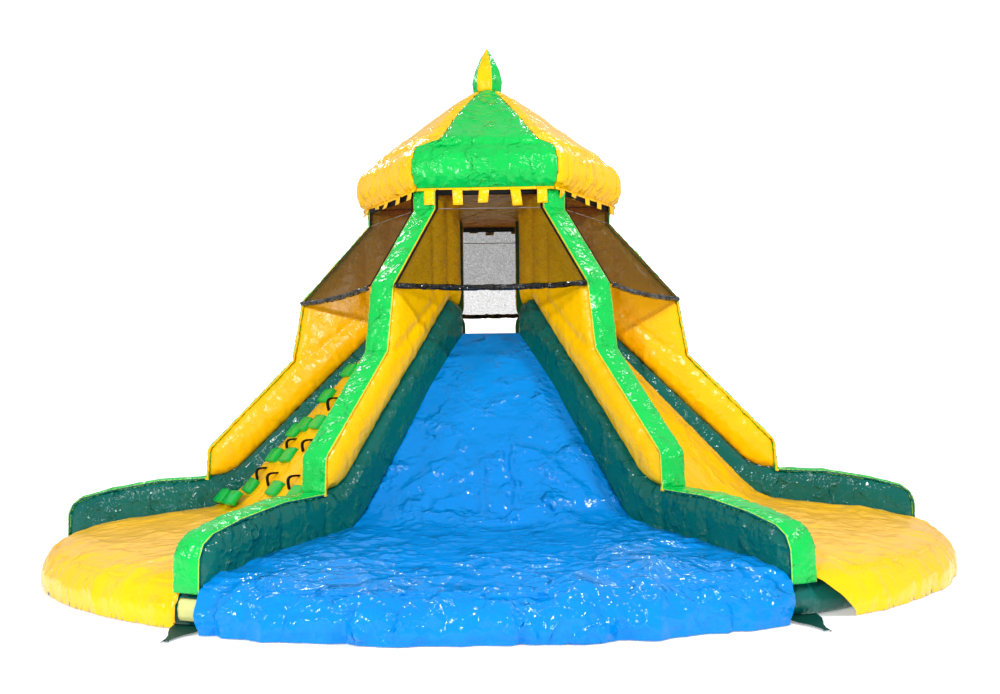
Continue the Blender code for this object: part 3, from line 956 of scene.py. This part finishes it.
# Safety nets. Black knitted mesh closes the gaps between the arms from the roof down to a gathered
# hem of black coated fabric. Webbing tapes hold it to the arms and to the roof.
NET_TOP = (1.31, 4.150)
NET_BEND = (1.31, 3.940)
NET_HEM = (2.01, 3.035)
ARM_HALF = 0.150
NET_CUTS = 44
TAPE_WIDTH = 0.024
HEM_HEIGHT = 0.048
NET_BLACK = "#0A0705"
BACK_SAG = 0.2


def net_mesh(name, shade, thin, thick):
    """Knitted polyester mesh with holes of about 2 mm, too fine to show; its threads are drawn
    about every 14 mm, and it darkens what is behind it, between a thin and a thick share."""
    material = bpy.data.materials.new(name)
    material.use_nodes = True
    shader = material.node_tree.nodes["Principled BSDF"]
    shader.inputs["Base Color"].default_value = linear(shade)
    shader.inputs["Roughness"].default_value = 0.8
    shader.inputs["Specular IOR Level"].default_value = 0.1
    place = add_node(material, "ShaderNodeTexCoord")
    threads = add_node(
        material, "ShaderNodeTexNoise", {}, {"Scale": 60.0, "Detail": 2.0, "Distortion": 2.0},
        {"Vector": place.outputs["Object"]},
    )
    cover = add_node(
        material, "ShaderNodeMapRange", {},
        {"From Min": 0.35, "From Max": 0.65, "To Min": thin, "To Max": thick},
        {"Value": threads.outputs["Fac"]},
    )
    material.node_tree.links.new(cover.outputs[0], shader.inputs["Alpha"])
    return material


def net_half(d):
    """Half the width of a net at a distance from the axis, between two arms."""
    return d * math.tan(HALF_SECTOR) - ARM_HALF / math.cos(HALF_SECTOR)


net_black = net_mesh("knitted_net_black", NET_BLACK, 0.36, 0.66)
net_close = net_mesh("knitted_net_black_closer", NET_BLACK, 0.50, 0.84)
fold_pale = webbing("webbing_fold_pale", "#8C8278")
tape_black = webbing("webbing_tape_black", "#0B0B0C")
hem_black = coated_fabric("coated_fabric_hem_black", "#08080A", 0.10, 4.0)
hem_black.node_tree.nodes["Principled BSDF"].inputs["Specular IOR Level"].default_value = 0.5
drop = math.hypot(NET_HEM[0] - NET_BEND[0], NET_BEND[1] - NET_HEM[1])
upright = NET_TOP[1] - NET_BEND[1]
for name, angle in (
    ("front", 0), ("right", 60), ("back_right", 120), ("back", 180), ("back_left", -120), ("left", -60),
):
    net = bmesh.new()
    bmesh.ops.create_grid(net, x_segments=NET_CUTS, y_segments=NET_CUTS, size=0.5)
    for vert in net.verts:
        across, down = vert.co.x * 2, 0.5 - vert.co.y
        run = down * (upright + drop)
        if run < upright:
            d, z = NET_TOP[0], NET_TOP[1] - run
        else:
            part = (run - upright) / drop
            d = NET_BEND[0] + part * (NET_HEM[0] - NET_BEND[0])
            z = NET_BEND[1] + part * (NET_HEM[1] - NET_BEND[1])
        slack = (1 - across ** 2) * down ** 2 * (BACK_SAG if name == "back" else 1.0)
        wave = noise.noise(Vector((across * 3.0, down * 2.0, angle)))
        vert.co = Vector((across * net_half(d), -d - 0.02 * slack * wave, z - 0.035 * slack))
    bmesh.ops.recalc_face_normals(net, faces=net.faces)
    knit = net_black if name in ("front", "back") else net_close
    net_piece = piece(f"mesh_net_{name}", turn(net, angle), [knit], [f"net_{name}"])
    wide, low = 2 * net_half(NET_HEM[0]), upright + drop
    tapes = []
    for hand in (-1, 1):
        line = [NET_TOP, NET_BEND, NET_HEM]
        tapes.append(ribbon(
            [(hand * (net_half(d) - TAPE_WIDTH), -d - 0.006, z) for d, z in line],
            (hand * TAPE_WIDTH, 0, 0), 0.005, 2,
        ))
    tapes.append(ribbon(
        [(x * net_half(NET_TOP[0]), -NET_TOP[0] - 0.008, 4.145) for x in (-1, -0.5, 0, 0.5, 1)],
        (0, 0, -0.06), 0.005, 2,
    ))
    piece(f"net_tape_{name}", turn(joined(tapes), angle), [tape_black])
    half = net_half(NET_BEND[0])
    line = [
        (x * half / 8, -NET_BEND[0] - 0.004, NET_BEND[1] + 0.012 * noise.noise(Vector((x * 0.7, angle, 2))))
        for x in range(-8, 9)
    ]
    piece(f"net_fold_{name}", turn(ribbon(line, (0, 0, -0.009), 0.003), angle), [fold_pale])
    hem = bmesh.new()
    bmesh.ops.create_grid(hem, x_segments=90, y_segments=6, size=0.5)
    for vert in hem.verts:
        across, down = vert.co.x * 2, 0.5 - vert.co.y
        sag = 0.035 * (1 - across ** 2) * (BACK_SAG if name == "back" else 1.0)
        vert.co = Vector((
            across * net_half(NET_HEM[0]), -NET_HEM[0] - 0.012 - 0.02 * math.sin(math.pi * down),
            NET_HEM[1] + 0.02 - sag - HEM_HEIGHT * down,
        ))
    bmesh.ops.solidify(hem, geom=hem.faces[:], thickness=0.012)
    bmesh.ops.recalc_face_normals(hem, faces=hem.faces)
    crumple(hem, 0.045, 0.022, shift=angle)
    piece(f"net_hem_{name}", turn(hem, angle), [hem_black])

# Roof. Six inflated cushions, green and yellow in turn, are zipped side by side into a six-sided
# cone with a fat rounded rim. Seams run down the hips and round the top of the rim.
ROOF_TWIST = -1.8
ROOF_UNDERSIDE = 4.15
RIM_TOP = 4.66
ROOF_NET = 0.024
HIP_SWINGS = [(-30, 9.0), (30, -5.0), (90, 4.0), (150, -5.0), (-150, 5.0), (-90, -4.0)]
ROOFS = {
    "front": (0, True), "right": (60, False), "back_right": (120, True), "back": (180, False),
    "back_left": (-120, True), "left": (-60, False),
}
roof_green = coated_fabric("coated_fabric_roof_green", GREEN, 0.20, 1.2)
roof_yellow = coated_fabric("coated_fabric_roof_yellow", YELLOW, 0.20, 0.9)


def wandered(shape, hip, swing, low, high):
    """Swings a stretch of one hip seam sideways, as both cushions beside it share it."""
    for vert in shape.verts:
        way = math.degrees(math.atan2(vert.co.x, -vert.co.y))
        off = (way - hip + 180) % 360 - 180
        up = max(0.0, min((vert.co.z - low) / 0.08, (high - vert.co.z) / (high - low - 0.1), 1.0))
        turned = swing * up * math.exp(-(off / 14) ** 2)
        vert.co = Matrix.Rotation(math.radians(turned), 3, "Z") @ vert.co
    return shape


def hip_gap(point):
    """How far a point of the front roof cushion is from its nearer hip."""
    d, across = -point.y, abs(point.x)
    return d * math.sin(HALF_SECTOR) - across * math.cos(HALF_SECTOR)


cushion = evened(solid_copy("roof_front", ROOF_TWIST), ROOF_NET)
cushion.normal_update()
for vert in cushion.verts:
    if vert.co.z > ROOF_UNDERSIDE + 0.01:
        pinch = 0.030 * (1 - plump(hip_gap(vert.co), 0.16))
        pinch += 0.014 * (1 - plump(abs(vert.co.z - RIM_TOP), 0.10)) * (vert.co.y < -1.1)
        vert.co -= Vector((0, vert.normal.y, vert.normal.z)) * pinch
cushion = swollen(
    cushion,
    lambda p: hip_gap(p) < 0.02 or p.z < ROOF_UNDERSIDE + 0.02
    or (abs(p.z - RIM_TOP) < 0.014 and p.y < -1.1),
    0.030, 5.0, 0.05,
)
cushion.normal_update()
for face in cushion.faces:
    if face.calc_center_median().z < ROOF_UNDERSIDE + 0.012:
        face.material_index = 1
for name, (angle, green) in ROOFS.items():
    own = turn(cushion.copy(), angle + ROOF_TWIST)
    for hip, swing in HIP_SWINGS:
        wandered(own, hip + ROOF_TWIST, swing, RIM_TOP - 0.02, 5.65)
    crumple(own, 0.26, 0.016, lambda p: 1.0 if p.z > RIM_TOP - 0.02 else 0.35)
    crumple(own, 0.11, 0.010, lambda p: 1.0 if p.z > RIM_TOP - 0.02 else 0.25)
    roof_piece = piece(
        f"roof_cushion_{name}", own, [roof_green if green else roof_yellow, roof_yellow],
        [f"roof_{name}"],
    )

# Roof tabs. A yellow hem band runs round under the rim, and short yellow tabs of coated fabric
# hang from it, left over from where the roof is laced to the arms.
TAB_STEP = 0.31
TAB_WIDTH = 0.11
TAB_LENGTH = 0.17
SHORT_TAB = 0.09
TAB_RING = 1.50 * math.cos(HALF_SECTOR)
for name, (angle, _) in ROOFS.items():
    half = TAB_RING * math.tan(HALF_SECTOR)
    bands = [ribbon([(x * half, -TAB_RING - 0.030, 4.165) for x in (-1, -0.5, 0, 0.5, 1)], (0, 0, -0.03), 0.004)]
    for k in range(-2, 3):
        noisy = noise.noise(Vector((k * 3.7, angle + 0.5, 1.3)))
        start = k * TAB_STEP + 0.04 * noisy - TAB_WIDTH / 2
        long = (TAB_LENGTH if name == "front" else SHORT_TAB) * (1 + 0.3 * noisy)
        line = []
        for step in range(6):
            t = step / 5
            curl = 0.09 * noise.noise(Vector((k * 1.3, angle * 0.7 + 0.5, 5.3))) * t * t
            if name == "front":
                curl = max(curl, 0.0)
            line.append((start + 0.06 * noisy * t, -TAB_RING - 0.034 - curl, 4.15 - long * t))
        bands.append(ribbon(line, (TAB_WIDTH, 0, 0), 0.003, 3))
    piece(f"roof_tabs_{name}", turn(joined(bands), angle + ROOF_TWIST), [roof_yellow])

# Spire. A small six-sided inflated bud with yellow and green sides, sewn onto the top of the roof.
SPIRE_TWIST = -12
spire = solid_copy("spire")
bmesh.ops.subdivide_edges(spire, edges=spire.edges, cuts=3, use_grid_fill=True)
crumple(spire, 0.10, 0.006)
spire_piece = piece("spire_bud", spire, [roof_yellow, roof_green], ["spire"])
for face in spire_piece.data.polygons:
    way = math.degrees(math.atan2(face.center.x, -face.center.y)) - SPIRE_TWIST
    face.material_index = round(way / 60) % 2

# Studio. A pale floor, lit from below as well, and soft white light, with bright panels in front
# and overhead for the shine.
FLOOR_RADIUS = 11.0
FLOOR_GLOW = 0.30
WORLD_LIGHT = 0.62
WORLD_SEEN = 1.7
bpy.context.scene.view_settings.view_transform = "Standard"
floor_shape = bmesh.new()
bmesh.ops.create_circle(floor_shape, cap_ends=True, segments=96, radius=FLOOR_RADIUS)
bmesh.ops.translate(floor_shape, verts=floor_shape.verts, vec=(0, 0, -0.002))
floor_mesh = bpy.data.meshes.new("studio_floor")
floor_shape.to_mesh(floor_mesh)
floor_shape.free()
floor = bpy.data.objects.new("studio_floor", floor_mesh)
bpy.context.scene.collection.objects.link(floor)
floor_paint = bpy.data.materials.new("pale_floor_paint")
floor_paint.use_nodes = True
floor_shader = floor_paint.node_tree.nodes["Principled BSDF"]
floor_shader.inputs["Base Color"].default_value = (0.9, 0.9, 0.9, 1.0)
floor_shader.inputs["Roughness"].default_value = 0.9
floor_shader.inputs["Emission Color"].default_value = (1.0, 1.0, 1.0, 1.0)
floor_shader.inputs["Emission Strength"].default_value = FLOOR_GLOW
floor_mesh.materials.append(floor_paint)

world = bpy.data.worlds.new("studio")
world.use_nodes = True
world.node_tree.nodes["Background"].inputs["Color"].default_value = (1.0, 1.0, 1.0, 1.0)
seen = world.node_tree.nodes.new("ShaderNodeLightPath")
strength = world.node_tree.nodes.new("ShaderNodeMapRange")
strength.inputs["To Min"].default_value = WORLD_LIGHT
strength.inputs["To Max"].default_value = WORLD_SEEN
world.node_tree.links.new(seen.outputs["Is Camera Ray"], strength.inputs["Value"])
world.node_tree.links.new(
    strength.outputs[0], world.node_tree.nodes["Background"].inputs["Strength"]
)
bpy.context.scene.world = world
LAMPS = [
    ("key", (8.0, -10.0, 9.0), (1.2, 0.6), 870.0),
    ("front", (-3.0, -15.0, 5.0), (1.2, 0.6), 820.0),
    ("fill", (-10.0, -9.0, 6.0), (0.9, 0.5), 360.0),
    ("overhead_left", (-6.0, 5.0, 11.0), (1.6, 0.4), 340.0),
    ("overhead_right", (5.0, 4.0, 12.0), (1.6, 0.4), 300.0),
]
for name, place, (wide, long), watts in LAMPS:
    lamp = bpy.data.lights.new(name, "AREA")
    lamp.shape = "RECTANGLE"
    lamp.size, lamp.size_y = wide, long
    lamp.energy = watts
    lamp_object = bpy.data.objects.new(name, lamp)
    aim = (Vector((0, 0, 2.0)) - Vector(place)).to_track_quat("-Z", "Y")
    lamp_object.matrix_world = Matrix.Translation(place) @ aim.to_matrix().to_4x4()
    bpy.context.scene.collection.objects.link(lamp_object)
